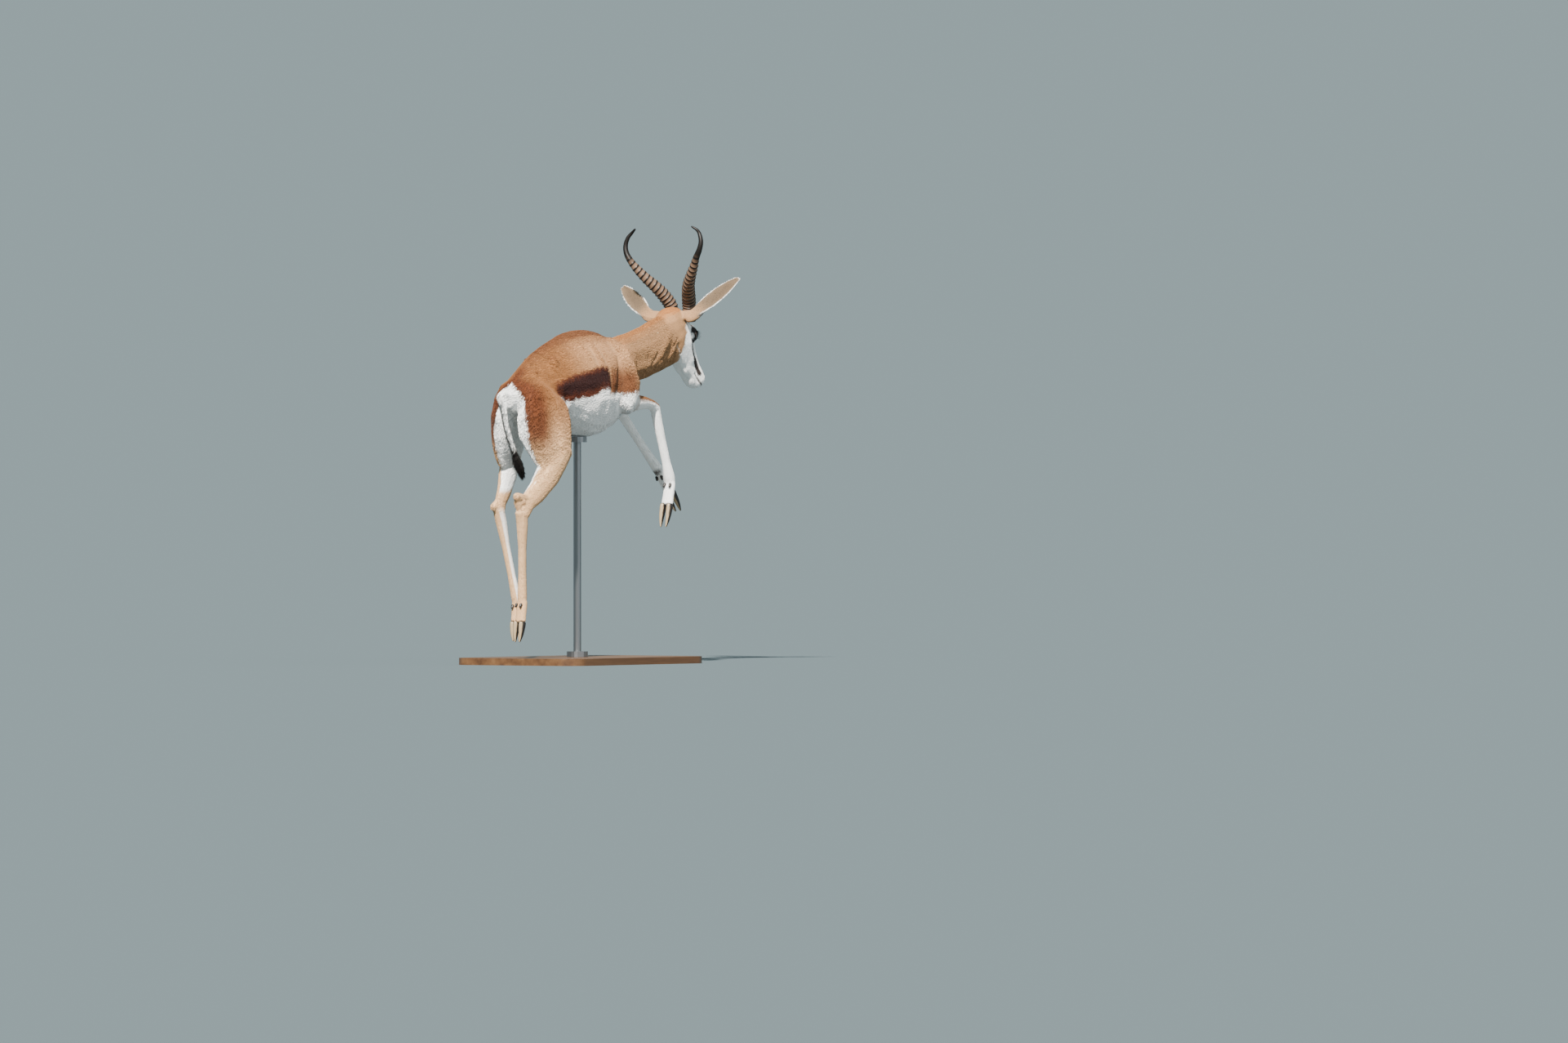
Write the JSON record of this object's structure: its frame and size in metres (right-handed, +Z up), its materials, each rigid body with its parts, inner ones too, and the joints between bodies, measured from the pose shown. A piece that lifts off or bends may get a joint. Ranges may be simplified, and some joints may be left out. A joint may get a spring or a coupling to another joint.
{
  "type": "springbok model on a display stand",
  "caption": "Life-size still model of a horned springbok ram in mid leap, held above a flat base by a short rod under the belly.",
  "frame": {"origin": "middle of the stand base's flat underside", "axes": "+X the way the animal travels, +Y its left side, +Z up"},
  "size_m": [0.9945, 0.42, 1.2395],
  "materials": {
    "coat_saddle": "short flat cinnamon brown hair",
    "coat_fawn": "short flat fawn hair",
    "coat_white": "short flat white hair",
    "ear_hair": "very short grey tan hair with white rims",
    "tail_hair": "long coarse black hair",
    "horn": "ringed dark brown horn with smooth tips",
    "hoof": "smooth dark hoof horn with pale soles",
    "eye": "polished dark brown eye",
    "stand_metal": "satin black",
    "stand_wood": "satin dark stained wood"
  },
  "bodies": {
    "root": {"claw_left_hind_left": "hoof", "claw_right_hind_left": "hoof", "dewclaw_left_hind_left": "hoof", "dewclaw_right_hind_left": "hoof", "pastern_hind_left": "coat_white", "thigh_left": "coat_fawn", "shank_left": "coat_fawn", "cannon_hind_left": "coat_fawn", "claw_left_hind_right": "hoof", "claw_right_hind_right": "hoof", "dewclaw_left_hind_right": "hoof", "dewclaw_right_hind_right": "hoof", "pastern_hind_right": "coat_white", "thigh_right": "coat_fawn", "shank_right": "coat_fawn", "cannon_hind_right": "coat_fawn", "claw_left_fore_left": "hoof", "claw_right_fore_left": "hoof", "dewclaw_left_fore_left": "hoof", "dewclaw_right_fore_left": "hoof", "pastern_fore_left": "coat_white", "shoulder_left": "coat_fawn", "forearm_left": "coat_white", "cannon_fore_left": "coat_white", "claw_left_fore_right": "hoof", "claw_right_fore_right": "hoof", "dewclaw_left_fore_right": "hoof", "dewclaw_right_fore_right": "hoof", "pastern_fore_right": "coat_white", "shoulder_right": "coat_fawn", "forearm_right": "coat_white", "cannon_fore_right": "coat_white", "trunk": "coat_saddle", "tail": "coat_white", "tail_tuft": "tail_hair", "head": "coat_white", "neck": "coat_fawn", "ear_left": "ear_hair", "horn_left": "horn", "eye_left": "eye", "ear_right": "ear_hair", "horn_right": "horn", "eye_right": "eye", "stand_base": "stand_wood", "stand_rod": "stand_metal", "stand_collar": "stand_metal", "stand_saddle": "stand_metal"}
  },
  "joints": []
}
